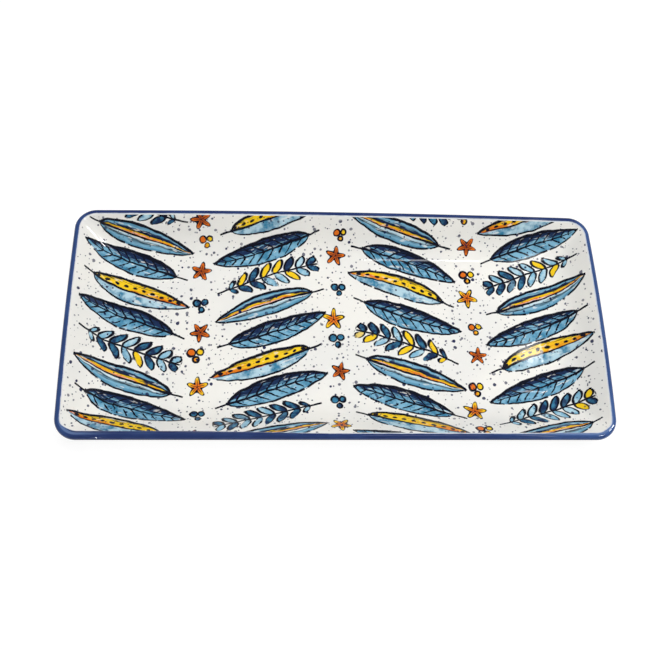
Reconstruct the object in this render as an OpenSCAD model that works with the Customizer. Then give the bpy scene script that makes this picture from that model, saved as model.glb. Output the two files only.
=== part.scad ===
/* [Platter] */
// Overall length over the rim
platter_l = 356; // [300:1:420]
// Overall width over the rim
platter_w = 161; // [140:1:200]
// Overall height, from the table to the crest of the lip
platter_h = 26; // [23:0.5:34]
// Radius of the rim's corners, seen from above
corner_r = 16; // [10:0.5:20]

/* [Wall] */
// Thickness of the glazed wall and floor
wall_t = 5; // [4:0.1:6]
// Slope of the walls above level, in degrees
wall_slope = 43; // [34:1:48]
// Radius of the bend between floor and wall, on the serving face
bend_r = 34; // [18:0.5:40]
// Height of the level floor above the lowest point of the bend's arc
floor_lift = 0.1; // [0.05:0.01:0.3]

/* [Glaze] */
// Thickness of every glaze coat
glaze_t = 0.4; // [0.2:0.05:0.8]
// How far the blue band runs down the outside, below the round of the lip
band_drop = 4; // [1:0.5:7]

/* [Foot ring] */
// Height of the foot ring below the glazed underside
ring_h = 2; // [1.2:0.1:4]
// Width of the foot ring's own section
ring_t = 4; // [3:0.1:7]
// Radius of the foot ring's outer corners, seen from above
ring_corner_r = 14; // [8:0.5:24]
// Level margin between the bend of the underside and the foot ring
ring_margin = 1; // [0:0.1:6]
// Rounding of the foot ring's two lower edges
ring_edge_r = 0.8; // [0.3:0.1:1.1]

/* [Hidden] */
$fn = 128;
overrun = 1;

// Places on the cross-section, as [inward from the rim, up from the table]
down_slope = [cos(wall_slope), -sin(wall_slope)];
out_of_face = [sin(wall_slope), cos(wall_slope)];
lip_r = wall_t / 2;
lip = [lip_r, platter_h - lip_r];
floor_z = ring_h + wall_t;
bend_z = floor_z + bend_r - floor_lift;
mid_bend_r = bend_r + lip_r;
wall_run = (lip[1] + mid_bend_r * out_of_face[1] - bend_z) / sin(wall_slope);
bend = lip + wall_run * down_slope + mid_bend_r * out_of_face;
headroom = bend_z + platter_h;

// Surfaces of the coats and the clay, as distances from the axis of the bend
face_skin = bend_r;
clay_top = face_skin + glaze_t;
skirt_skin = bend_r + wall_t;
clay_under = skirt_skin - glaze_t;

// Plan of the foot ring
ring_inset = bend[0] + ring_margin;
ring_long = platter_l - 2 * ring_inset;
ring_wide = platter_w - 2 * ring_inset;
ring_root = ring_h + glaze_t + overrun;

// Everything above the surface at distance r from the bend's axis, from a rim to past the middle
module above_half(r, span, top) {
    tangent = bend - r * out_of_face;
    start = tangent - (wall_run + wall_t) * down_slope;
    bottom = bend - [0, r];
    deep = span / 2 + overrun;
    intersection() {
        union() {
            polygon([[start[0], top], start, tangent, bottom, [deep, bottom[1]], [deep, top]]);
            intersection() {
                translate(bend) circle(r);
                polygon([bend, 2 * tangent - bend, 2 * bottom - bend]);
            }
        }
        translate([start[0], bottom[1] + floor_lift]) square([deep - start[0], top]);
    }
}

// Everything above that surface, from rim to rim
module above(r, span, top) {
    for (side = [0, 1]) translate([side * span, 0]) mirror([side, 0]) above_half(r, span, top);
}

// The stretch of the section between two distances down the slope from the lip's centre
module stretch(from, to) {
    ends = [lip + from * down_slope, lip + to * down_slope];
    across = skirt_skin * out_of_face;
    polygon([ends[0] - across, ends[0] + across, ends[1] + across, ends[1] - across]);
}

// Section of one layer of the wall, as far in as the axes of the corners
module layer(under, over, from = 0, to = wall_run + corner_r) {
    intersection() {
        difference() {
            above(under, platter_w, headroom);
            above(over, platter_w, headroom + overrun);
        }
        stretch(from, to);
        square([corner_r, headroom]);
    }
}

// Section of the clay, from the lip's round inward
module clay_section() {
    translate(lip) circle(lip_r - glaze_t);
    layer(clay_under, clay_top);
}

// Section of the blue coat: round the lip and down the outside, as far as the white face
module band_section() {
    difference() {
        union() {
            translate(lip) circle(lip_r);
            layer(skirt_skin, clay_top, to = band_drop);
        }
        clay_section();
        layer(clay_top, face_skin - overrun);
    }
}

// A section carried round a rectangle with rounded corners
module carried_round(l, w, r) {
    for (turn = [0, 180]) rotate(turn) {
        translate([0, -w / 2]) rotate([90, 0, 90])
            linear_extrude(l - 2 * r, center = true) children();
        translate([-l / 2, 0]) rotate([90, 0, 0])
            linear_extrude(w - 2 * r, center = true) children();
        translate([r - l / 2, r - w / 2]) rotate(180)
            rotate_extrude(angle = 90) translate([r, 0]) mirror([1, 0]) children();
        translate([l / 2 - r, r - w / 2]) rotate(-90)
            rotate_extrude(angle = 90) translate([r, 0]) mirror([1, 0]) children();
    }
}

// Section of the space above a surface, between the axes of the corners
module trough_section(span, r, spread) {
    inner = span - 2 * corner_r + 2 * spread;
    top = headroom + spread;
    intersection() {
        translate([-span / 2, 0]) above(r, span, top);
        translate([-inner / 2, 0]) square([inner, top]);
    }
}

// The space above a surface inside the axes of the corners, with mitred valleys
module trough(r, spread = 0) {
    intersection() {
        rotate([90, 0, 0])
            linear_extrude(platter_w - 2 * corner_r + 2 * spread, center = true)
                trough_section(platter_l, r, spread);
        rotate([90, 0, 90])
            linear_extrude(platter_l - 2 * corner_r + 2 * spread, center = true)
                trough_section(platter_w, r, spread);
    }
}

// One layer inside the axes of the corners
module pan(under, over) {
    difference() {
        trough(under);
        trough(over, overrun);
    }
}

// Flat shape with rounded corners
module rounded(l, w, r) {
    square([l, w - 2 * r], center = true);
    square([l - 2 * r, w], center = true);
    for (x = [-1, 1], y = [-1, 1]) translate([x * (l / 2 - r), y * (w / 2 - r)]) circle(r);
}

// Section of the foot ring, rooted in the clay, with its lower edges rounded
module ring_section() {
    translate([0, ring_edge_r]) square([ring_t, ring_root - ring_edge_r]);
    translate([ring_edge_r, 0]) square([ring_t - 2 * ring_edge_r, ring_root]);
    for (d = [ring_edge_r, ring_t - ring_edge_r]) translate([d, ring_edge_r]) circle(ring_edge_r);
}

// The clay, with the foot ring it stands on
module stoneware_body() {
    color("wheat") {
        carried_round(platter_l, platter_w, corner_r) clay_section();
        pan(clay_under, clay_top);
        carried_round(ring_long, ring_wide, ring_corner_r) ring_section();
    }
}

// The white coat on the serving face
module face_glaze() {
    color("ivory") {
        carried_round(platter_l, platter_w, corner_r) layer(clay_top, face_skin);
        pan(clay_top, face_skin);
    }
}

// The blue coat round the lip
module rim_band() {
    color("royalblue")
        carried_round(platter_l, platter_w, corner_r) band_section();
}

// The white coat outside, from the blue band to the foot ring
module skirt_glaze() {
    color("ghostwhite") {
        carried_round(platter_l, platter_w, corner_r)
            layer(skirt_skin, clay_under, from = band_drop);
        difference() {
            pan(skirt_skin, clay_under);
            linear_extrude(floor_z) rounded(ring_long, ring_wide, ring_corner_r);
        }
    }
}

// The white coat underneath, inside the foot ring
module base_glaze() {
    color("whitesmoke")
        translate([0, 0, ring_h]) linear_extrude(glaze_t)
            rounded(ring_long - 2 * ring_t, ring_wide - 2 * ring_t, ring_corner_r - ring_t);
}

stoneware_body();
face_glaze();
rim_band();
skirt_glaze();
base_glaze();
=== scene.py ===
import math
from types import SimpleNamespace

import bmesh
import bpy
import numpy as np
from mathutils import Matrix, Vector


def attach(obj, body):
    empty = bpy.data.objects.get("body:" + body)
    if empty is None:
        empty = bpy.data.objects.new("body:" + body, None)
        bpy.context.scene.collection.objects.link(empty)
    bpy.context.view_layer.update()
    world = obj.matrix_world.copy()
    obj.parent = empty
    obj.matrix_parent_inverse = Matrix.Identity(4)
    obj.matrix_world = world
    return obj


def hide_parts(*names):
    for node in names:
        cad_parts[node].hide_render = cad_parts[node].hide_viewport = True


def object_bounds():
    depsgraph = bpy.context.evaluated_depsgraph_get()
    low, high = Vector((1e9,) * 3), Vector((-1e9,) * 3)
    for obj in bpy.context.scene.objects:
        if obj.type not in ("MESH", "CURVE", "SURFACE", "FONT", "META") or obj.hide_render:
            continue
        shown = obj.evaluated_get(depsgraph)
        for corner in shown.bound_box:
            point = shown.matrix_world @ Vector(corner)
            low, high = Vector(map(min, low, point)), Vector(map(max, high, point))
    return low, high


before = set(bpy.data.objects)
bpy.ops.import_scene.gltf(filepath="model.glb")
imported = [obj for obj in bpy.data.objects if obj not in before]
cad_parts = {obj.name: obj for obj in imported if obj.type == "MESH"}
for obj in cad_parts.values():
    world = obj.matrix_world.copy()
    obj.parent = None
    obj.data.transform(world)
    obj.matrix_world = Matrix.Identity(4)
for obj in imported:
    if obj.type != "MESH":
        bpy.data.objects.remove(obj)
cadLow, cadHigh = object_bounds()
mm = 0.001
length, width, height = ((high - low) / mm for low, high in zip(cadLow, cadHigh))
print("frame loaded, platter", round(length), "x", round(width), "x", round(height), "mm")


# the section through a wall, in mm: d runs inward from the rim, z up from the table
section = {
    "wall": 5.0,         # clay with both coats
    "coat": 0.4,         # one coat of glaze
    "slope": 43.0,       # of the walls, in degrees
    "bend": 34.0,        # radius between wall and floor, on the face
    "easing": 2.6,       # how softly the bend runs into the wall and the floor
    "easingReach": 4.0,  # how far the softening is felt, in easings
    "floor": 7.0,        # height of the floor
    "bandDrop": 4.0,     # how far the blue runs down outside, below the lip
    "floorInset": 46.0,  # where the level part of the floor starts to be one sheet
    "fine": 0.1,         # step of the sums along the section
    "step": 1.0,         # along the section, between two rings of the mesh
    "lipSteps": 26,      # round the lip
    "dropSteps": 4,      # down the blue, below the lip
    "sharp": 40.0,       # edges over this angle in degrees are not smoothed
}
plan = {
    "corner": 13.6,      # radius of the rim's corners
    "valley": 7.0,       # least radius where two walls meet
    "blend": 2.4,        # how softly one runs into the other
    "longSteps": 84,
    "shortSteps": 38,
    "cornerSteps": 18,
}
foot = {
    "inset": 38.36,      # from the rim to the outside of the ring
    "thick": 4.0,
    "high": 2.0,
    "corner": 14.0,
    "edge": 0.8,         # rounding of its lower edges
    "edgeSteps": 5,
}
# rounded edge of the coat inside the foot ring: inward from the ring, above the underside
baseEdge = ((0.0, section["coat"]), (0.0, 0.15), (0.2, 0.03), (0.7, 0.0))
# the mark that the back of the face's sheet carries in place of a distance along it
underMark = -1.0
# kiln bow: how far the corners sit inside the line of the middle of each side
bow = {"far": 1.78, "near": 0.01, "left": 1.02, "right": 1.94}

slope = math.radians(section["slope"])
downSlope = np.array([math.cos(slope), -math.sin(slope)])
outOfFace = np.array([math.sin(slope), math.cos(slope)])
lipRadius = section["wall"] / 2
lip = np.array([lipRadius, height - lipRadius])
middleBend = section["bend"] + lipRadius
bendHeight = section["floor"] + section["bend"]
wallRun = (lip[1] + middleBend * outOfFace[1] - bendHeight) / math.sin(slope)
faceSkin = section["bend"]
clayTop = faceSkin + section["coat"]
skirtSkin = section["bend"] + section["wall"]
clayUnder = skirtSkin - section["coat"]


# the line that one surface follows, from beside the lip down the wall and along the floor
def wallLine(radius, inset, begin=0.0):
    fine = section["fine"]
    start = lip + (middleBend - radius) * outOfFace
    reach = np.arange(0.0, wallRun + radius * slope + 2 * section["floorInset"], fine)
    angle = np.clip((wallRun + radius * slope - reach) / radius, 0.0, slope)
    spread = int(section["easingReach"] * section["easing"] / fine)
    weights = np.exp(-0.5 * (np.arange(-spread, spread + 1) * fine / section["easing"]) ** 2)
    padded = np.concatenate([np.full(spread, slope), angle, np.zeros(spread)])
    eased = np.convolve(padded, weights / weights.sum(), mode="valid")
    d = start[0] + np.concatenate([[0.0], np.cumsum(np.cos(eased[:-1]) * fine)])
    drop = np.concatenate([[0.0], np.cumsum(np.sin(eased[:-1]) * fine)])
    z = start[1] - drop * (start[1] - (bendHeight - radius)) / drop[-1]
    end = np.interp(inset, d, reach)
    places = np.linspace(begin, end, max(2, round((end - begin) / section["step"])))
    return np.column_stack([np.interp(places, reach, d), np.interp(places, reach, z), places])


def lipRound(radius):
    turn = np.linspace(0.0, math.pi, section["lipSteps"])
    d = lip[0] + radius * np.sin(slope - turn)
    z = lip[1] + radius * np.cos(slope - turn)
    return np.column_stack([d, z, radius * turn])


def cornerAt(d):
    over = (plan["corner"] - d - plan["valley"]) / plan["blend"]
    return plan["valley"] + plan["blend"] * math.log1p(math.exp(over))


# one level ring of the mesh, starting in the middle of the near right corner
def ring(d, z, radius=None):
    r = cornerAt(d) if radius is None else radius
    halfX, halfY = length / 2 - d, width / 2 - d
    arc = np.linspace(0.0, math.pi / 2, plan["cornerSteps"] + 1)
    x, y = halfX - r, halfY - r
    corners = [(x, -y), (x, y), (-x, y), (-x, -y)]
    steps = [plan["shortSteps"], plan["longSteps"]] * 2
    points = []
    for turn, (midX, midY) in enumerate(corners):
        angle = arc + (turn - 1) * math.pi / 2
        bent = np.column_stack([midX + r * np.cos(angle), midY + r * np.sin(angle)])
        nextX, nextY = corners[(turn + 1) % 4]
        follow = [(r, 0.0), (0.0, r), (-r, 0.0), (0.0, -r)][turn]
        goal = np.array([nextX + follow[0], nextY + follow[1]])
        share = np.linspace(0.0, 1.0, steps[turn] + 1)[1:-1, None]
        points += [bent, bent[-1] * (1 - share) + goal * share]
    flat = np.roll(np.concatenate(points), -plan["cornerSteps"] // 2, axis=0)
    return np.column_stack([flat, np.full(len(flat), z)])


# a sheet of quads that fills a ring, as a Coons patch between its four sides
def sheetInside(loop, first, flip):
    across = plan["cornerSteps"] + plan["longSteps"]
    along = plan["cornerSteps"] + plan["shortSteps"]
    count = len(loop)
    right = np.arange(0, along + 1)
    far = np.arange(along, along + across + 1)[::-1]
    left = np.arange(along + across, 2 * along + across + 1)[::-1]
    near = np.arange(2 * along + across, count + 1) % count
    u = np.linspace(0.0, 1.0, across + 1)[:, None, None]
    v = np.linspace(0.0, 1.0, along + 1)[None, :, None]
    patch = (1 - v) * loop[near][:, None] + v * loop[far][:, None]
    patch = patch + (1 - u) * loop[left][None] + u * loop[right][None]
    patch -= (1 - u) * (1 - v) * loop[near[0]] + u * (1 - v) * loop[near[-1]]
    patch -= (1 - u) * v * loop[far[0]] + u * v * loop[far[-1]]
    inner = patch[1:-1, 1:-1].reshape(-1, 3)
    index = np.zeros((across + 1, along + 1), int)
    index[1:-1, 1:-1] = np.arange(len(inner)).reshape(across - 1, along - 1) + first[1]
    for edge, places in ((index[:, 0], near), (index[:, -1], far), (index[0], left), (index[-1], right)):
        edge[:] = places + first[0]
    quads = np.stack([index[:-1, :-1], index[1:, :-1], index[1:, 1:], index[:-1, 1:]], -1).reshape(-1, 4)
    return inner, quads[:, ::-1] if flip else quads


# where a point of the face lies on the flat print, before the sheet was laid into the dish
faceLine = wallLine(faceSkin, section["floorInset"])


def laidFlat(x, half):
    d = half - np.abs(x)
    rise = faceLine[-1, 2] - np.interp(d, faceLine[:, 0], faceLine[:, 2])
    return np.sign(x) * np.where(d > faceLine[-1, 0], np.abs(x), half - faceLine[-1, 0] + rise)


def bowed(points):
    x, y = points[:, 0] / (length / 2), points[:, 1] / (width / 2)
    shift = np.zeros_like(points)
    shift[:, 0] = y ** 2 * (bow["left"] * ((1 - x) / 2) ** 2 - bow["right"] * ((1 + x) / 2) ** 2)
    shift[:, 1] = x ** 2 * (bow["near"] * ((1 - y) / 2) ** 2 - bow["far"] * ((1 + y) / 2) ** 2)
    return points + shift


# a closed mesh from a run of rings; profile rows are d, z, the distance along it
# and, where it isn't the rim's, the corner radius
def platterPiece(name, profile, node, sheets=True):
    rings = [ring(row[0], row[1], row[3] if len(row) > 3 else None) for row in profile]
    count = len(rings[0])
    points = list(rings)
    marks = [np.full(count, row[2]) for row in profile]
    start = np.arange(count)
    after = np.roll(start, -1)
    quads = []
    pairs = list(zip(range(len(rings) - 1), range(1, len(rings))))
    if not sheets:
        pairs.append((len(rings) - 1, 0))
    for a, b in pairs:
        low, high = a * count, b * count
        quads.append(np.column_stack([start + low, after + low, after + high, start + high]))
    total = len(rings) * count
    if sheets:
        for which, flip in ((0, True), (len(rings) - 1, False)):
            inner, cells = sheetInside(rings[which], (which * count, total), flip)
            points.append(inner)
            marks.append(np.full(len(inner), profile[which][2]))
            quads.append(cells)
            total += len(inner)
    points = np.concatenate(points)
    flat = np.column_stack([laidFlat(points[:, 0], length / 2), laidFlat(points[:, 1], width / 2),
                            np.concatenate(marks)])
    mesh = bpy.data.meshes.new(name)
    mesh.from_pydata((bowed(points) * mm).tolist(), [], np.concatenate(quads).tolist())
    laid = mesh.attributes.new("laidFlat", "FLOAT_VECTOR", "POINT")
    laid.data.foreach_set("vector", flat.astype(np.float32).ravel())
    work = bmesh.new()
    work.from_mesh(mesh)
    bmesh.ops.recalc_face_normals(work, faces=work.faces)
    work.to_mesh(mesh)
    work.free()
    mesh.shade_smooth()
    mesh.set_sharp_from_angle(angle=math.radians(section["sharp"]))
    piece = bpy.data.objects.new(name, mesh)
    bpy.context.scene.collection.objects.link(piece)
    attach(piece, "root")
    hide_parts(node)
    print(name, len(mesh.polygons), "faces")
    return piece


def backwards(profile):
    return profile[::-1]


# the clay: floor, wall, lip, underside and the foot ring it stands on
def clayProfile():
    inset, thick, edge = foot["inset"], foot["thick"], foot["edge"]
    turn = np.linspace(0.0, math.pi / 2, foot["edgeSteps"])
    top = foot["high"] + section["coat"]
    outer = [(inset, top)] + [(inset + edge * (1 - math.cos(a)), edge * (1 - math.sin(a))) for a in turn]
    inner = [(inset + thick - d + inset, z) for d, z in backwards(outer)]
    rows = [(d, z, 0.0, foot["corner"]) for d, z in outer]
    rows += [(d, z, 0.0, foot["corner"] - thick) for d, z in inner]
    run = list(backwards(wallLine(clayTop, section["floorInset"])))
    run += list(lipRound(lipRadius - section["coat"])[1:])
    run += list(wallLine(clayUnder, inset - section["step"])[1:])
    return run + rows


def skirtProfile():
    inset = foot["inset"]
    edges = inset - section["step"]
    outer = list(wallLine(skirtSkin, edges, section["bandDrop"]))
    inner = list(wallLine(clayUnder, edges, section["bandDrop"]))
    end = [(inset, row[1], row[2] + section["step"], foot["corner"]) for row in (outer[-1], inner[-1])]
    return outer + end + backwards(inner)


def rimProfile():
    coat, drop = section["coat"], section["bandDrop"]
    outer = list(lipRound(lipRadius))
    inner = list(lipRound(lipRadius - coat))
    for run, radius in ((outer, skirtSkin), (inner, clayUnder)):
        begin = lip + (middleBend - radius) * outOfFace
        far = run[-1][2]
        for share in np.linspace(0.0, drop, section["dropSteps"] + 1)[1:]:
            d, z = begin + share * downSlope
            run.append((d, z, far + share))
    return outer + backwards(inner)


def baseProfile():
    inset = foot["inset"] + foot["thick"]
    corner = foot["corner"] - foot["thick"]
    return [(inset + d, foot["high"] + z, 0.0, corner) for d, z in baseEdge]


def faceProfile():
    under = backwards(wallLine(clayTop, section["floorInset"]))
    return [(d, z, underMark) for d, z in under[:, :2]] + list(faceLine)


clayBody = platterPiece("clay_body", clayProfile(), "stoneware_body")
servingFace = platterPiece("serving_face", faceProfile(), "face_glaze")
blueRim = platterPiece("blue_rim", rimProfile(), "rim_band", sheets=False)
whiteSkirt = platterPiece("white_skirt", skirtProfile(), "skirt_glaze", sheets=False)
whiteBase = platterPiece("white_base", baseProfile(), "base_glaze")


# camera: where the photographer stood, from the rim's outline
shot = {
    "elevation": 68.0,
    "yaw": -9.56,
    "roll": 9.385,
    "distance": 541.75,
    "focal": 827.9,      # in pixels of a frame this many wide
    "pixels": 650,
    "sensor": 36.0,
    "nearest": 0.01,
    "aim": (-9.51, -4.0, 24.6),
}


def placeCamera():
    up, yaw, roll = (math.radians(shot[key]) for key in ("elevation", "yaw", "roll"))
    back = Vector((math.sin(yaw) * math.cos(up), -math.cos(yaw) * math.cos(up), math.sin(up)))
    level = Vector((math.cos(yaw), math.sin(yaw), 0.0))
    rise = back.cross(level)
    right = math.cos(roll) * level + math.sin(roll) * rise
    top = math.cos(roll) * rise - math.sin(roll) * level
    eye = (Vector(shot["aim"]) + shot["distance"] * back) * mm
    lens = bpy.data.cameras.new("camera")
    lens.sensor_width = shot["sensor"]
    lens.lens = shot["focal"] * lens.sensor_width / shot["pixels"]
    lens.clip_start = shot["nearest"]
    camera = bpy.data.objects.new("camera", lens)
    turned = Matrix((right, top, back)).transposed()
    camera.matrix_world = Matrix.Translation(eye) @ turned.to_4x4()
    bpy.context.scene.collection.objects.link(camera)
    bpy.context.scene.camera = camera


placeCamera()
print("camera placed")


# one socket of a node tree; sums on it add their Math nodes
class Wire:
    def __init__(self, tree, socket=None):
        self.tree = tree
        self.socket = socket

    # any node: its settings are set first, then its sockets get values or links
    def put(self, kind, settings=None, sockets=None, out=0):
        node = self.tree.nodes.new("ShaderNode" + kind)
        for key, value in (settings or {}).items():
            if key == "stops":
                stops = node.color_ramp.elements
                while len(stops) < len(value):
                    stops.new(0.5)
                for stop, (place, colour) in zip(stops, value):
                    stop.position = place
                    stop.color = colour
            else:
                setattr(node, key, value)
        for key, value in (sockets or {}).items():
            if isinstance(value, Wire):
                self.tree.links.new(value.socket, node.inputs[key])
            else:
                node.inputs[key].default_value = value
        return Wire(self.tree, node.outputs[out])

    def sum(self, operation, *values):
        return self.put("Math", {"operation": operation}, dict(enumerate(values)))

    def __add__(self, other):
        return self.sum("ADD", self, other)

    __radd__ = __add__

    def __sub__(self, other):
        return self.sum("SUBTRACT", self, other)

    def __rsub__(self, other):
        return self.sum("SUBTRACT", other, self)

    def __mul__(self, other):
        return self.sum("MULTIPLY", self, other)

    __rmul__ = __mul__

    def __truediv__(self, other):
        return self.sum("DIVIDE", self, other)

    def __rtruediv__(self, other):
        return self.sum("DIVIDE", other, self)

    def __pow__(self, other):
        return self.sum("POWER", self, other)

    def __neg__(self):
        return self.sum("MULTIPLY", self, -1.0)

    def __abs__(self):
        return self.sum("ABSOLUTE", self)

    def floor(self):
        return self.sum("FLOOR", self)

    def modulo(self, other):
        return self.sum("FLOORED_MODULO", self, other)

    def least(self, other):
        return self.sum("MINIMUM", self, other)

    def most(self, other):
        return self.sum("MAXIMUM", self, other)

    def root(self):
        return self.sum("SQRT", self)

    # 0 below one value, 1 above the other, smooth between; the values may run backwards
    def ease(self, low, high):
        return self.put("MapRange", {"interpolation_type": "SMOOTHSTEP"}, {0: self, 1: low, 2: high})

    # a noise that runs from 0 to 1, as a swing either way of its middle
    def swing(self, amount):
        return (self - 0.5) * amount

    def between(self, low, high):
        return self.put("Clamp", {}, {0: self, 1: low, 2: high})

    def split(self):
        node = self.put("SeparateXYZ", {}, {0: self}).socket.node
        return [Wire(self.tree, socket) for socket in node.outputs]

    def join(self, x, y, z=0.0):
        return self.put("CombineXYZ", {}, {0: x, 1: y, 2: z})

    def blend(self, factor, first, second, mode="MIX"):
        return self.put("Mix", {"data_type": "RGBA", "blend_type": mode},
                        {0: factor, 6: first, 7: second}, 2)

    def noise(self, place, scale, detail=2.0, rough=0.5, out=0):
        return self.put("TexNoise", {"noise_dimensions": "3D"},
                        {"Vector": place, "Scale": scale, "Detail": detail, "Roughness": rough}, out)


def paint(red, green, blue):
    tint = [c / 255 for c in (red, green, blue)]
    return [c / 12.92 if c < 0.04045 else ((c + 0.055) / 1.055) ** 2.4 for c in tint] + [1.0]


def newFinish(name, ior=1.5):
    finish = bpy.data.materials.new(name)
    finish.use_nodes = True
    shader = finish.node_tree.nodes["Principled BSDF"]
    shader.inputs["IOR"].default_value = ior
    return finish, shader, Wire(finish.node_tree)


def feed(shader, **wires):
    for name, wire in wires.items():
        socket = {"colour": "Base Color", "roughness": "Roughness", "normal": "Normal"}[name]
        wire.tree.links.new(wire.socket, shader.inputs[socket])


# how far the face's own sheet reaches when laid flat, and marks across the rim, all in mm
reachS, reachT = (half - faceLine[-1, 0] + faceLine[-1, 2] for half in (length / 2, width / 2))
crestMark = lipRadius * slope
bandEnd = lipRadius * math.pi + section["bandDrop"]


def laidOut(make):
    return make.put("Attribute", {"attribute_name": "laidFlat"}, out=1)


# how far a point is from the middle of its cell, and three lots that the cell drew
def voronoi(make, place, cell, dimensions="3D"):
    cells = make.put("TexVoronoi", {"voronoi_dimensions": dimensions, "feature": "F1"},
                     {"Vector": place, "Scale": 1 / cell})
    luck = Wire(make.tree, cells.socket.node.outputs["Color"]).split()
    return cells * cell, luck


# three lots drawn for each whole-numbered place
def drawLots(make, x, y, seed):
    lots = make.put("TexWhiteNoise", {"noise_dimensions": "3D"}, {"Vector": make.join(x, y, seed)}, 1)
    return lots.split()


# the hand-laid edge of the blue: how far it comes over the seam onto the face, in mm
blueEdge = {
    "left": -0.95,
    "right": -1.05,
    "change": (-20.0, 20.0),        # along the sheet, where the left level gives way to the right one
    "nearLeft": 1.8,
    "nearRight": -0.85,
    "nearChange": (0.0, -105.0),    # where the near right level gives way to the near left one
    "nearCorner": 0.6,              # more of it at the near right corner
    "nearCornerAt": (118.0, 142.0),
    "far": -0.9,
    "farLean": 0.0008,              # for each mm to the right
    "sides": (8.0, 0.5),            # from the edge, where the long sides' levels start and are full
    "waver": 0.5,
    "waverLong": 9.0,
    "shake": 0.24,
    "shakeLong": 2.0,
    "soft": 0.15,
    "halo": (-0.9, -0.1),           # milky line where the two glazes meet
    "haloStrength": 0.6,
    "lowerIn": 0.5,                 # how far its lower edge stays above the seam outside
}


def blueReach(make, s, t):
    edge = blueEdge
    sheet = make.join(s, t)
    sides = [reachT - inset for inset in edge["sides"]]
    near, far = (-t).ease(*sides), t.ease(*sides)
    ends = s.ease(*edge["change"]) * (edge["right"] - edge["left"]) + edge["left"]
    nearLevel = s.ease(*edge["nearChange"]) * (edge["nearLeft"] - edge["nearRight"]) + edge["nearRight"]
    nearLevel = nearLevel + s.ease(*edge["nearCornerAt"]) * edge["nearCorner"]
    farLevel = s * edge["farLean"] + edge["far"]
    level = ends + near * (nearLevel - ends) + far * (farLevel - ends)
    waver = make.noise(sheet, 1 / edge["waverLong"], 2.0).swing(edge["waver"])
    return level + waver + make.noise(sheet, 1 / edge["shakeLong"], 1.0).swing(edge["shake"])


cobalt = {
    "thick": paint(37, 53, 100),
    # lighter blue where the glaze is thin, and painted reflection at the short ends and the near right
    # corner
    "thinAndSheen": paint(60, 88, 142),
    "crest": paint(106, 131, 176),  # pale blue where streaks thin the glaze on the lip's top, and a painted highlight there at the near corners
    "pool": paint(28, 40, 82),
    "halo": paint(172, 186, 216),
    "streakLong": 30.0,             # brush streaks, in mm along the rim and across it
    "streakFine": 0.6,
    "cloud": 24.0,
    "ends": (9.0, 1.0),             # from the edge, where the short sides start and are full
    "nearRightSheen": (1.5, 1.9),      # where the painted highlight at a near corner starts and is full, in half sides added
    "nearLeftSheen": (1.78, 1.96),
    "thinAndSheenBy": {"corner": 0.65, "ends": 0.45, "rightEnd": 0.25, "cloud": 0.9, "streak": 0.6},
    "paleCrestAndSheenBy": {"right": 0.75, "left": 0.6, "streak": 0.5},
    "paleCrestAndSheenMost": 0.8,
    "paleCrestAndSheenAt": 0.4,                 # of the way from the seam to the top of the lip
    "paleCrestAndSheenWide": (1.5, 0.4),
    "pooled": (3.4, 0.6),           # above the lower edge, where the pool starts and is full
    "poolStrength": 0.55,
    "smooth": 0.02,                 # roughness, and what the streaks add to it
    "streakRough": 0.014,
    "peel": 0.03,
}


# the blue itself: clouds, brush streaks along the rim, lighter at the ends and the near right corner,
# for thinner blue and painted reflection; pale on the lip's top where streaks thin it, with a painted
# highlight there at the near corners; pooled at the lower edge
def cobaltTint(make, s, t, mark):
    along = make.join(s / cobalt["streakLong"], t / cobalt["streakLong"], mark / cobalt["streakFine"])
    streak = make.noise(along, 1.0, 3.0, 0.55)
    cloud = make.noise(make.join(s, t, mark * 2), 1 / cobalt["cloud"], 3.0, 0.6)
    # right and left mark the near corners, where a highlight is painted on the lip's top
    right = (s / reachS - t / reachT).ease(*cobalt["nearRightSheen"])
    left = (-s / reachS - t / reachT).ease(*cobalt["nearLeftSheen"])
    ends = [reachS - inset for inset in cobalt["ends"]]
    by = cobalt["thinAndSheenBy"]
    # lighter at the near right corner and at the short ends: thinner blue and painted reflection
    thinAndSheen = right * by["corner"] + abs(s).ease(*ends) * by["ends"] + s.ease(*ends) * by["rightEnd"]
    thinAndSheen = thinAndSheen + (cloud - 0.45) * by["cloud"] + streak.swing(by["streak"])
    tint = make.blend(thinAndSheen.between(0.0, 1.0), cobalt["thick"], cobalt["thinAndSheen"])
    by = cobalt["paleCrestAndSheenBy"]
    # painted highlight on the lip's top at the near corners, and paler there where streaks thin the glaze
    paleCrestAndSheenMask = right * by["right"] + left * by["left"] + (streak - 0.42) * by["streak"]
    paleCrestAndSheenMask = paleCrestAndSheenMask * abs(mark - crestMark * cobalt["paleCrestAndSheenAt"]).ease(*cobalt["paleCrestAndSheenWide"])
    tint = make.blend(paleCrestAndSheenMask.between(0.0, cobalt["paleCrestAndSheenMost"]), tint, cobalt["crest"])
    pooled = (mark + cloud.swing(3.0)).ease(*[bandEnd - rise for rise in cobalt["pooled"]])
    return make.blend(pooled * cobalt["poolStrength"], tint, cobalt["pool"]), streak


# blue over another glaze; inside is how far in mm a point lies within the blue
def blueOver(make, ground, inside, tint):
    milky = make.blend(inside.ease(*blueEdge["halo"]) * blueEdge["haloStrength"], ground, cobalt["halo"])
    return make.blend(inside.ease(-blueEdge["soft"], blueEdge["soft"]), milky, tint)


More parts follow.
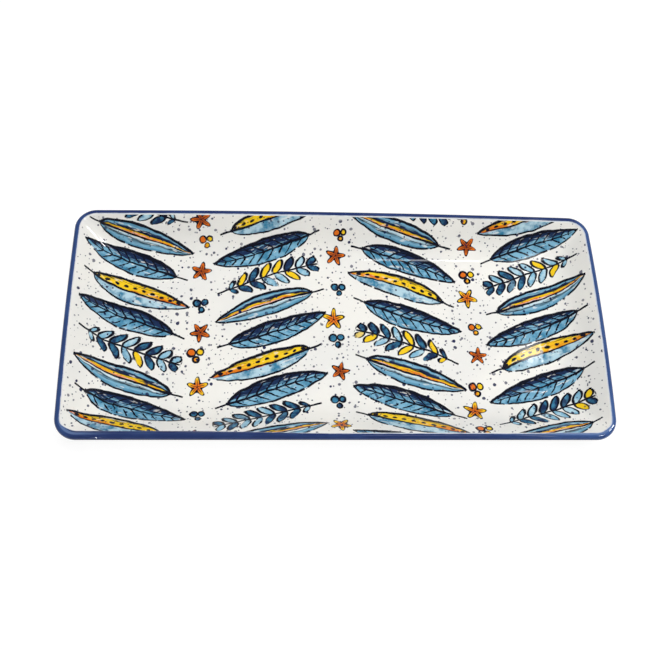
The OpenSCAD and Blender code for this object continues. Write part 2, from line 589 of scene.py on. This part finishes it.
white = {
    "warm": paint(240, 237, 229),
    "cool": paint(231, 233, 233),
    "stain": paint(206, 190, 162),
    "speck": paint(122, 98, 70),
    "pool": paint(218, 226, 229),
    "drift": 33.0,                  # mm, the clouds of warm and cool
    "cell": 7.0,                    # mm from one iron speck to the next
    "often": (0.6, 0.66),           # a cell with less luck has none
    "stainWide": 0.5,               # mm, the least, and what luck adds
    "stainGrow": 0.8,
    "stainStrength": 0.45,
    "speckWide": 0.1,
    "speckGrow": 0.24,
    "speckCore": 0.2,
    "speckStrength": 0.8,
    "waverLong": 2.5,               # mm, the unevenness of seams and gloss
    "bleed": (1.4, -0.2),           # mm below the seam, where the blue bleeds into the white
    "bleedWaver": 1.6,
    "bleedStrength": 0.6,
    "pooled": (30.0, 46.0),         # mm down the outside, where the pool starts and is full
    "poolWaver": 6.0,
    "poolStrength": 0.7,
    "smooth": 0.07,                 # roughness, and what the unevenness adds to it
    "waverRough": 0.03,
    "peel": 0.25,
    "peelWide": 3.125,              # mm, the ripples of the skin
    "peelHigh": 0.000014,           # m
    "lineHigh": 0.25,               # ink under the glaze, as a share of that
}


# white with slow clouds, and here and there an iron speck in its own stain
def whiteTint(make, place):
    drift = make.noise(place, 1 / white["drift"], 3.0).ease(0.35, 0.65)
    tint = make.blend(drift, white["warm"], white["cool"])
    away, luck = voronoi(make, place, white["cell"])
    bigness, often = luck[:2]
    here = often.ease(*white["often"])
    stain = away.ease(bigness * white["stainGrow"] + white["stainWide"], 0.05) * here
    speckEdge = bigness * white["speckGrow"] + white["speckWide"]
    speck = away.ease(speckEdge, bigness * white["speckCore"]) * here
    tint = make.blend(stain * white["stainStrength"], tint, white["stain"])
    return make.blend(speck * white["speckStrength"], tint, white["speck"])


# the slight ripple of a fired glaze; ink lines under it stand up a little
def glazeSkin(make, place, strength, lines=None):
    peel = make.noise(place, 1 / white["peelWide"], 1.0)
    if lines is not None:
        peel = peel + lines * white["lineHigh"]
    return make.put("Bump", {}, {"Strength": strength, "Distance": white["peelHigh"], "Height": peel})


def whiteGlaze():
    finish, shader, make = newFinish("white glaze")
    place = laidOut(make)
    s, t, mark = place.split()
    waver = make.noise(make.join(s, t), 1 / white["waverLong"], 2.0) - 0.5
    seam = section["bandDrop"]
    bleed = (mark + waver * white["bleedWaver"]).ease(*[seam + fall for fall in white["bleed"]])
    bleed = bleed * mark.ease(seam - 1, seam - 0.5)
    pooled = (mark + waver * white["poolWaver"]).ease(*white["pooled"])
    tint = make.blend(bleed * white["bleedStrength"], whiteTint(make, place), cobalt["halo"])
    tint = make.blend(pooled * white["poolStrength"], tint, white["pool"])
    feed(shader, colour=tint, roughness=waver * white["waverRough"] + white["smooth"],
         normal=glazeSkin(make, place, white["peel"]))
    return finish


def cobaltGlaze():
    finish, shader, make = newFinish("cobalt glaze")
    place = laidOut(make)
    s, t, mark = place.split()
    tint, streak = cobaltTint(make, s, t, mark)
    reach = blueReach(make, s, t)
    inside = (mark + reach).least(bandEnd - blueEdge["lowerIn"] - mark + reach * 0.5)
    colour = blueOver(make, whiteTint(make, place), inside, tint)
    feed(shader, colour=colour, roughness=streak * cobalt["streakRough"] + cobalt["smooth"],
         normal=glazeSkin(make, place, cobalt["peel"]))
    return finish


clay = {
    "light": paint(214, 199, 173),
    "dark": paint(193, 173, 143),
    "grit": paint(116, 88, 60),
    "wear": paint(160, 153, 143),
    "cell": 0.0021,                 # m from one grain of grit to the next
    "gritOften": (0.5, 0.55),
    "gritWide": 0.00008,            # m, the least, and what luck adds
    "gritGrow": 0.00025,
    "gritCore": 0.00018,
    "gritStrength": 0.75,
    "grainFine": 1700.0,            # noise scales, for places in m
    "drift": 55.0,
    "scuff": 240.0,
    "worn": (0.0005, 0.0001),       # m above the table, where the foot ring's wear starts and is full
    "wornLeast": 0.15,              # how strongly it shows, and what scuffs add
    "wornScuff": 0.6,
    "rough": 0.75,                  # with what the grain adds and wear takes off
    "grainRough": 0.2,
    "wearRough": 0.25,
    "bump": 0.5,
    "bumpHigh": 0.00012,            # m
}


# unglazed clay: grain, drifting tone and grit, scuffed grey where it stands on the table
def bareClay():
    finish, shader, make = newFinish("bare stoneware")
    place = make.put("TexCoord", out=3)
    z = place.split()[2]
    grain = make.noise(place, clay["grainFine"], 3.0, 0.65)
    drift = make.noise(place, clay["drift"], 3.0, 0.6) + grain.swing(0.6)
    tint = make.blend(drift.ease(0.3, 0.7), clay["light"], clay["dark"])
    away, luck = voronoi(make, place, clay["cell"])
    bigness, often = luck[:2]
    gritEdge = bigness * clay["gritGrow"] + clay["gritWide"]
    grit = away.ease(gritEdge, bigness * clay["gritCore"]) * often.ease(*clay["gritOften"])
    tint = make.blend(grit * clay["gritStrength"], tint, clay["grit"])
    scuff = make.noise(place, clay["scuff"], 4.0, 0.65).ease(0.46, 0.64)
    wear = z.ease(*clay["worn"]) * (scuff * clay["wornScuff"] + clay["wornLeast"])
    tint = make.blend(wear, tint, clay["wear"])
    bump = make.put("Bump", {}, {"Strength": clay["bump"], "Distance": clay["bumpHigh"],
                                 "Height": grain - grit * 0.6})
    rough = clay["rough"] + grain * clay["grainRough"] - wear * clay["wearRough"]
    feed(shader, colour=tint, roughness=rough, normal=bump)
    return finish


# the print on the face, in mm on the flat sheet: leaves in leaning columns, stars and berries between them
layout = {
    "column": 92.0,
    "row": 20.6,
    "lean": 19.0,           # degrees, the other way in each second column
    "slip": 8.0,            # each column sits this much further along
    "wobble": 2.6,          # how far the hand strays, and over what length
    "wobbleLong": 13.0,
    "paperLong": 60.0,      # clouds in the white of the ground
    "kinds": 5.0,
    "yellow": 1,            # which of the kinds are not blue leaves
    "striped": 3,
    "sprig": 4,
    "along": 3.0,           # how far a leaf strays along its place and across it, and bends
    "across": 1.6,
    "bend": 5.0,
}
inks = {
    "paper": paint(240, 238, 232),
    "shade": paint(234, 233, 229),
    "ink": paint(8, 13, 30),
    "navy": paint(26, 46, 82),
    "teal": paint(58, 126, 160),
    "sky": paint(128, 180, 206),
    "pale": paint(182, 212, 224),
    "yellow": paint(244, 203, 34),
    "orange": paint(222, 108, 24),
    "rust": paint(172, 76, 18),
    "speck": paint(24, 32, 74),
    "line": 0.6,            # half an ink line
    "smooth": 0.028,        # roughness of the glaze over the print, and what ink and grain add
    "inkRough": 0.03,
    "grainRough": 0.012,
    "peel": 0.25,
}


# the hand that drew the sheet: where it strayed to, and the tooth of the paper
def drawnSheet(make, s, t):
    flat = make.join(s, t)
    swayX, swayY, swayZ = make.noise(flat, 1 / layout["wobbleLong"], 2.0, 0.6, out=1).split()
    return SimpleNamespace(flat=flat, swayX=swayX, swayY=swayY, swayZ=swayZ,
                           s=s + swayX.swing(layout["wobble"]), t=t + swayY.swing(layout["wobble"]),
                           grain=make.noise(flat, 1.6, 2.0, 0.6))


brushes = {                 # strokes that follow a leaf: mm along it and across it, seed, detail, roughness
    "brush": (15.0, 1.5, 0.0, 3.0, 0.6),
    "bristle": (11.0, 0.7, 17.0, 3.0, 0.65),
    "dry": (9.0, 2.2, 31.0, 2.0, 0.6),
    "press": (6.0, 6.0, 9.0, 3.0, 0.6),
}


def strokes(make, at, name):
    along, across, seed, detail, rough = brushes[name]
    return make.noise(make.join(at.a / along, at.b / across, at.number + seed), 1.0, detail, rough)


# a wash of watercolour: two tones that run into each other
def wash(make, sheet, first, second, size):
    run = make.noise(sheet.flat, 1 / size, 3.0, 0.6).ease(0.4, 0.66)
    return make.blend(run, inks[first], inks[second])


# a line of ink with the soft edges of a nib, half its width given
def inkLine(distance, half):
    return distance.ease(half + 0.16, half - 0.12)


# which leaf's place a point is in, and where in it: a runs along the leaf, b across it
def leafPlace(make, sheet):
    lean = math.radians(layout["lean"])
    column = (sheet.s / layout["column"]).floor()
    inColumn = sheet.s - (column + 0.5) * layout["column"]
    side = 1 - 2 * column.modulo(2.0)
    drop = sheet.t + side * inColumn * math.tan(lean) + column * layout["slip"]
    row = (drop / layout["row"]).floor()
    off = drop - (row + 0.5) * layout["row"]
    luckA, luckB, luckC = drawLots(make, column, row, 4.0)
    way = 1 - 2 * (row + column).modulo(2.0)
    a = (inColumn / math.cos(lean) - side * off * math.sin(lean)) * way + luckA.swing(layout["along"])
    b = off * math.cos(lean) + luckB.swing(layout["across"])
    b = b - luckC.swing(layout["bend"]) * (a * a / 1500 - 0.35)
    at = SimpleNamespace(a=a, b=b, number=row * 7.3 + column * 3.1)
    kind = (row + 2 * column).modulo(layout["kinds"])
    at.isYellow, at.isStriped, at.isSprig = (abs(kind - layout[name]).ease(0.5, 0.4)
                                             for name in ("yellow", "striped", "sprig"))
    for name in brushes:
        setattr(at, name, strokes(make, at, name))
    return at


leaf = {
    "back": 29.0,           # from the middle of its place to the leaf's stalk end
    "front": 39.0,          # and to its tip
    "wide": 7.75,           # half its width
    "fullness": (0.62, 0.8),  # how its sides swell at the stalk end and at the tip
    "stalk": 38.0,          # from the middle to the end of the stalk
    "stalkLine": (0.8, 0.5),
    "gapLong": 5.0,         # where the pen skipped
    "dark": (0.15, 0.43),   # across a blue leaf, where its dark half starts and is full
    "deep": (0.62, 0.92),   # and its nearly black edge
    "ripe": (0.1, 0.7),     # a yellow leaf from yellow to orange
    "burnt": (0.72, 0.95),  # its dark edge
    "under": (0.06, -0.08),  # its blue underside
    "pooled": (-1.9, 0.1),  # from its outline, where colour pools
    "poolStrength": 0.45,
    "dryAt": (0.6, 0.68),   # where the brush ran dry
    "dryStrength": 0.6,
    "vein": 6.8,            # between side veins
    "spot": 6.4,            # between the spots of a yellow leaf
    "stripes": ((0.0, "teal"), (0.2, "sky"), (0.31, "ink"), (0.39, "pale"), (0.5, "paper"),
                (0.56, "orange"), (0.64, "yellow"), (0.69, "ink"), (0.8, "navy"), (0.87, "sky"),
                (1.0, "teal")),
}


# the leaf's own outline, and the nib that draws it: heavier on one side, with gaps on the other
def leafOutline(make, at):
    stalkEnd, tip = leaf["fullness"]
    fullest = stalkEnd ** stalkEnd * tip ** tip / (stalkEnd + tip) ** (stalkEnd + tip)
    at.x = ((at.a + leaf["back"]) / (leaf["back"] + leaf["front"])).between(0.002, 0.998)
    at.wide = at.x ** stalkEnd * (1 - at.x) ** tip * (leaf["wide"] / fullest)
    past = (-at.a - leaf["back"]).most(at.a - leaf["front"])
    at.outside = (abs(at.b) - at.wide).most(past)
    at.inside = at.outside.ease(0.35, -0.15)
    at.v = at.b / at.wide
    at.nib = inks["line"] * (0.35 + at.press * 1.3) + at.v.ease(-0.2, 0.7) * 0.3
    skip = make.noise(make.join(at.a / leaf["gapLong"], at.number, 2.0), 1.0, 1.0, 0.5)
    at.gap = skip.ease(0.62, 0.66) * at.v.ease(0.4, -0.2)
    at.stalk = abs(at.b).ease(*leaf["stalkLine"]) * (at.a + leaf["stalk"]).ease(0.0, 0.6)


# blue leaf: one half dark with dry brush strokes, nearly black at its edge, the other a light wash
def blueLeaf(make, sheet, at):
    dark = (at.v * 0.9 + at.brush.swing(2.6)).ease(*leaf["dark"])
    deep = (at.v + at.bristle.swing(2.4)).ease(*leaf["deep"])
    tint = make.blend(dark, wash(make, sheet, "sky", "teal", 9.0), inks["navy"])
    return make.blend(deep, tint, inks["ink"])


# yellow leaf with a blue underside
def yellowLeaf(make, sheet, at):
    ripe = (at.v * -0.5 + at.x * 0.8 + at.brush.swing(1.6)).ease(*leaf["ripe"])
    warm = make.blend(ripe, inks["yellow"], inks["orange"])
    warm = make.blend((at.v + at.bristle.swing(2.0)).ease(*leaf["burnt"]) * 0.9, warm, inks["ink"])
    under = (at.v + at.brush.swing(0.9)).ease(*leaf["under"])
    return make.blend(under, warm, wash(make, sheet, "pale", "teal", 8.0))


def stripedLeaf(make, at):
    stops = [(place, inks[name]) for place, name in leaf["stripes"]]
    return make.put("ValToRGB", {"stops": stops}, {0: at.v * 0.5 + 0.5 + at.brush.swing(0.34)})


# a leaf of its kind, with colour pooled at its edge and paper showing where the brush was dry
def leafTint(make, sheet, at):
    tint = make.blend(at.isYellow, blueLeaf(make, sheet, at), yellowLeaf(make, sheet, at))
    tint = make.blend(at.isStriped, tint, stripedLeaf(make, at))
    pooled = make.blend(1.0, tint, inks["sky"], "MULTIPLY")
    tint = make.blend(at.outside.ease(*leaf["pooled"]) * leaf["poolStrength"], tint, pooled)
    return make.blend(at.dry.ease(*leaf["dryAt"]) * leaf["dryStrength"], tint, inks["paper"])


# a leaf's ink: outline, midrib, side veins, stalk and the yellow one's spots
def leafInk(sheet, at):
    outline = inkLine(abs(at.outside) + sheet.grain.swing(0.4), at.nib) * (1 - at.gap)
    rib = (1 - at.x) * 0.6 + 0.3 + at.press.swing(0.8)
    midrib = inkLine(abs(at.b), rib) * at.inside * at.x.ease(0.97, 0.9)
    comb = (at.a - abs(at.b) * 1.2) / leaf["vein"] + at.brush.swing(0.35)
    tooth = abs(comb - comb.floor() - 0.5) * leaf["vein"] * 0.65
    vein = inkLine(tooth, 0.5 + at.press.swing(0.9)) * abs(at.v).ease(0.95, 0.7) * at.inside
    vein = vein * (1 - at.isStriped) * (1 - at.isYellow) * (1 - at.gap)
    bead = (at.a + at.v.ease(-0.1, 0.1) * 3.2) / leaf["spot"] + sheet.swayY.swing(0.5)
    beadX = (bead - bead.floor() - 0.5) * leaf["spot"] + sheet.grain.swing(1.2)
    beadY = abs(at.b) - at.wide * (0.42 + sheet.swayX.swing(0.5)) + sheet.grain.swing(0.8)
    spot = (beadX * beadX / 2.6 + beadY * beadY).ease(1.3, 0.7) * at.inside * at.v.ease(-0.2, -0.05)
    stalk = at.stalk * at.a.ease(-26.0, -27.0)
    return outline.most(midrib).most(vein).most(spot * at.isYellow).most(stalk)


sprig = {
    "pitch": 8.4,           # between leaflets
    "reach": 10.4,          # length of the longest leaflet, and of the shortest
    "least": 1.2,
    "wide": 6.0,
    "tipIn": 4.0,           # the leaflets stop this far before the end
    "line": 0.85,           # share of a leaf's ink line
}


# sprig: leaflets in pairs up a stem; gives its tint, where it is painted and its ink
def sprigArt(make, sheet, at):
    slant = (at.a - abs(at.b) * 0.75) / sprig["pitch"]
    leaflet = slant.floor()
    up = abs(at.b) * 1.25
    span = leaf["back"] + leaf["front"]
    arch = (1 - ((at.a + leaf["back"]) / span * 2 - 1) ** 2.0).most(0.0).root()
    reach = arch * sprig["reach"] + sprig["least"]
    share = (up / reach).between(0.001, 0.999)
    blade = share ** 0.6 * (1 - share) ** 0.7 * sprig["wide"]
    within = abs(slant - leaflet - 0.5) * sprig["pitch"] * 0.8 - blade
    within = within.most(up - reach).most(-at.a - leaf["back"]).most(at.a - leaf["front"] + sprig["tipIn"])
    lot = make.put("TexWhiteNoise", {"noise_dimensions": "3D"},
                   {"Vector": make.join(leaflet, at.number, at.b.ease(-0.01, 0.01))}, 0)
    tint = make.blend(lot.ease(0.42, 0.48), wash(make, sheet, "navy", "teal", 6.0),
                      wash(make, sheet, "sky", "pale", 6.0))
    tint = make.blend(lot.ease(0.84, 0.88), tint, inks["yellow"])
    tint = make.blend((within + at.bristle.swing(5.0)).ease(-0.9, 0.1) * 0.8, tint, inks["navy"])
    fill = (within + sheet.swayZ.swing(1.4)).ease(0.25, -0.3)
    stem = at.stalk * at.a.ease(36.0, 34.0)
    return tint, fill, (inkLine(abs(within), at.nib * sprig["line"]) * (1 - at.gap)).most(stem)


strewing = {
    "stray": 6.0,           # how far stars and berries stray from their places
    "slip": 9.0,            # each line of them sits this much further along
    "small": 0.86,          # least size, and what luck adds
    "grow": 0.26,
    "star": 6.8,
    "points": 5,
    "berry": 2.5,
    "berries": ((-2.7, 1.5), (2.6, 2.0), (0.4, -3.0)),
    "berrySmaller": 0.14,   # each berry against the one before
    "berryLine": 0.8,
}


# a star with ridged arms, yellow or rust
def starArt(make, sheet, at, spot):
    away = (spot.x * spot.x + spot.y * spot.y).root()
    turn = make.sum("ARCTAN2", spot.y, spot.x) + spot.spin * 6.3
    arm = make.sum("COSINE", turn * strewing["points"]) * 0.5 + 0.5
    outside = (away - strewing["star"] * (0.4 + 0.6 * arm ** 1.3)) * 0.75 + sheet.grain.swing(0.5)
    fill = (outside + sheet.swayZ.swing(1.6)).ease(0.3, -0.4)
    gold = make.blend((away + sheet.grain.swing(6.0)).ease(1.5, 6.5), inks["orange"], inks["yellow"])
    rust = make.blend(away.ease(1.0, 6.0), inks["rust"], inks["orange"])
    tint = make.blend((spot.spin * 3).modulo(1.0).ease(0.5, 0.55), gold, rust)
    ridge = abs(make.sum("SINE", turn * (strewing["points"] / 2))) * away
    outline = inkLine(abs(outside), at.nib * (1 - away.ease(3.5, 6.5) * 0.55))
    return tint, fill, outline.most(ridge.ease(0.6, 0.25) * away.ease(5.2, 4.2))


# three berries, warm or blue
def berryArt(make, sheet, at, spot):
    outside = None
    for number, (x, y) in enumerate(strewing["berries"]):
        gapX, gapY = spot.x - x, spot.y - y
        radius = strewing["berry"] * (1 - strewing["berrySmaller"] * number)
        edge = (gapX * gapX + gapY * gapY).root() - radius
        outside = edge if outside is None else outside.least(edge)
    outside = outside + sheet.grain.swing(0.5)
    fill = (outside + sheet.swayX.swing(1.2)).ease(0.25, -0.3)
    tint = make.blend((spot.x + sheet.grain.swing(4.0)).ease(-2.0, 3.0), inks["orange"], inks["yellow"])
    tint = make.blend(spot.spin.ease(0.5, 0.52), tint, wash(make, sheet, "teal", "navy", 4.0))
    return tint, fill, inkLine(abs(outside), at.nib * strewing["berryLine"])


# stars and berries by turns, on the lines between the columns: the tint, paint and ink of each
def strewn(make, sheet, at):
    line = (sheet.s / layout["column"] + 0.5).floor()
    fall = (sheet.t + line * strewing["slip"]) / layout["row"]
    knot = fall.floor()
    spin, luckX, luckY = drawLots(make, line, knot, 8.0)
    grown = strewing["small"] + luckX * strewing["grow"]
    spot = SimpleNamespace(spin=spin)
    spot.x = (sheet.s - line * layout["column"] + luckX.swing(strewing["stray"])) / grown
    spot.y = ((fall - knot - 0.5) * layout["row"] + luckY.swing(strewing["stray"])) / grown
    onSheet = abs(line).ease(1.6, 1.4)
    odd = (knot + line).modulo(2.0)
    for art, turn in ((starArt, odd.ease(0.6, 0.4)), (berryArt, odd.ease(0.4, 0.6))):
        tint, fill, ink = art(make, sheet, at, spot)
        yield tint, fill * turn * onSheet, ink * turn * onSheet


splatter = {
    "drops": ((5.0, 0.95, 0.0), (3.4, 0.6, 40.0), (8.5, 1.3, 90.0)),  # cell, largest radius, seed
    "patches": 24.0,
    "often": (0.62, 0.68),
}


# splatter off the brush: it falls in patches, in twos and threes
def splatterDots(make, sheet):
    flung = make.noise(sheet.flat, 1 / splatter["patches"], 1.0)
    flecks = None
    for cell, largest, seed in splatter["drops"]:
        place = make.join(sheet.s + seed, sheet.t - seed + sheet.grain.swing(0.7))
        away, (bigness, often, strength) = voronoi(make, place, cell, "2D")
        radius = (bigness * 0.75 + 0.25) * largest
        here = (often + flung.swing(1.4)).ease(*splatter["often"])
        dots = away.ease(radius + 0.12, radius - 0.16) * here * (strength * 0.3 + 0.7)
        flecks = dots if flecks is None else flecks.most(dots)
    return flecks


def printedGlaze():
    finish, shader, make = newFinish("printed glaze")
    s, t, edge = laidOut(make).split()
    sheet = drawnSheet(make, s, t)
    at = leafPlace(make, sheet)
    leafOutline(make, at)
    cloud = make.noise(sheet.flat, 1 / layout["paperLong"], 2.0).ease(0.4, 0.62)
    colour = make.blend(cloud, inks["paper"], inks["shade"])
    painted = (at.outside + sheet.swayZ.swing(3.0)).ease(0.5, -0.5) * (1 - at.isSprig)
    colour = make.blend(painted, colour, leafTint(make, sheet, at))
    tint, fill, sprigInk = sprigArt(make, sheet, at)
    colour = make.blend(fill * at.isSprig, colour, tint)
    ink = make.put("Mix", {"data_type": "FLOAT"}, {0: at.isSprig, 2: leafInk(sheet, at), 3: sprigInk})
    for tint, fill, lines in strewn(make, sheet, at):
        colour = make.blend(fill, colour, tint)
        ink = ink.most(lines)
    colour = make.blend(splatterDots(make, sheet), colour, inks["speck"])
    colour = make.blend(ink * (0.9 + sheet.grain * 0.2).least(1.0), colour, inks["ink"])

    # the blue of the rim, where it comes over the seam; the sheet's own underside stays white
    # where the blue laps over, it carries the rim's painted highlight and painted reflection too
    blue = cobaltTint(make, s, t, -edge)[0]
    lap = blueReach(make, s, t) - edge.most(0.0) - edge.ease(underMark * 0.4, underMark * 0.6) * 9
    colour = blueOver(make, colour, lap, blue)
    rough = inks["smooth"] + ink * inks["inkRough"] + sheet.grain * inks["grainRough"]
    feed(shader, colour=colour, roughness=rough, normal=glazeSkin(make, sheet.flat, inks["peel"], ink))
    return finish


plainWhite = whiteGlaze()
for piece, finish in ((clayBody, bareClay()), (servingFace, printedGlaze()), (blueRim, cobaltGlaze()),
                      (whiteSkirt, plainWhite), (whiteBase, plainWhite)):
    piece.data.materials.append(finish)
print("finishes made")


# studio: a pale floor and sweep, one big lamp overhead for the light,
# and small ones that only show as gloss
studio = {
    "room": 0.14,
    "paper": 0.2,
    "paperRough": 0.9,
    "paperGlow": 0.86,
    "sweepGlow": 0.9,   # as light as the floor is at its edge
    "sweepRadius": 2.6,
    "sweepCove": 0.7,
    "sweepHigh": 3.4,
    "lamps": [
        # name, place in m, size in m, watts, lights the surface, shows in the gloss,
        # turn in degrees if it looks down, width of its beam in degrees if a grid narrows it
        ("overhead", (0.22, 0.06, 1.3), (1.0, 1.0), 19.5, True, False, None),
        ("far strip", (0.235, -0.025, 1.0), (0.234, 0.06), 0.28, False, True, -9.9),
        ("side strip", (0.4475, -0.225, 1.0), (0.497, 0.025), 0.2, False, True, -80.2),
        ("skylight", (0.462, 0.342, 1.0), (0.04, 0.034), 0.019, False, True, 40.0, 66.0),
        ("front spot", (-0.413, -1.19, 0.645), (0.009, 0.03), 0.32, False, True, None),
        ("side window", (1.1, 0.5, 0.75), (0.6, 0.6), 0.3, False, True, None),
        ("long tube", (1.95, 0.14, 1.98), (1.5, 0.08), 32.0, False, True, -6.1),
        ("short tube", (1.25, -0.445, 1.98), (0.61, 0.08), 14.0, False, True, -35.0),
    ],
}


def softLamp(name, place, size, watts, lights, shows, turn, beam=180.0):
    lamp = bpy.data.lights.new(name, "AREA")
    lamp.shape = "RECTANGLE"
    lamp.size, lamp.size_y = size
    lamp.energy = watts
    lamp.spread = math.radians(beam)
    holder = bpy.data.objects.new(name, lamp)
    holder.location = place
    if turn is None:
        holder.rotation_euler = (-Vector(place)).to_track_quat("-Z", "Y").to_euler()
    else:
        holder.rotation_euler = (0.0, 0.0, math.radians(turn))
    holder.visible_diffuse = lights
    holder.visible_glossy = shows
    holder.visible_camera = False
    bpy.context.scene.collection.objects.link(holder)


def paleStage(name, points, faces, albedo, glow):
    mesh = bpy.data.meshes.new(name)
    mesh.from_pydata(points, [], faces)
    mesh.shade_smooth()
    pale, shader = newFinish(name.replace("_", " "))[:2]
    shader.inputs["Roughness"].default_value = studio["paperRough"]
    shader.inputs["Base Color"].default_value = (albedo,) * 3 + (1.0,)
    shader.inputs["Specular IOR Level"].default_value = 0.0
    shader.inputs["Emission Color"].default_value = (1.0, 1.0, 1.0, 1.0)
    shader.inputs["Emission Strength"].default_value = glow
    mesh.materials.append(pale)
    stage = bpy.data.objects.new(name, mesh)
    bpy.context.scene.collection.objects.link(stage)
    return stage


# the sweep stands behind everything and only the camera sees it
def paleSweep(around=96, rise=12):
    radius, cove = studio["sweepRadius"], studio["sweepCove"]
    turn = np.linspace(0.0, math.pi / 2, rise)
    line = [(radius + cove * math.sin(a), cove * (1 - math.cos(a))) for a in turn]
    line.append((radius + cove, studio["sweepHigh"]))
    points = []
    for r, z in line:
        for a in np.arange(around) * 2 * math.pi / around:
            points.append((r * math.cos(a), r * math.sin(a), z))
    faces = []
    for k in range(len(line) - 1):
        for i in range(around):
            j = (i + 1) % around
            faces.append((k * around + i, (k + 1) * around + i, (k + 1) * around + j, k * around + j))
    sweep = paleStage("studio_sweep", points, faces, 0.0, studio["sweepGlow"])
    for kind in ("diffuse", "glossy", "transmission", "shadow"):
        setattr(sweep, "visible_" + kind, False)
    circle = [points[i] for i in range(around)]
    paleStage("studio_floor", circle, [tuple(range(around))], studio["paper"], studio["paperGlow"])


def lightStudio():
    paleSweep()
    world = bpy.data.worlds.new("studio")
    world.use_nodes = True
    world.node_tree.nodes["Background"].inputs["Color"].default_value = (1.0, 1.0, 1.0, 1.0)
    world.node_tree.nodes["Background"].inputs["Strength"].default_value = studio["room"]
    bpy.context.scene.world = world
    for lamp in studio["lamps"]:
        softLamp(*lamp)


lightStudio()
bpy.context.scene.view_settings.view_transform = "Standard"
print("studio lit")
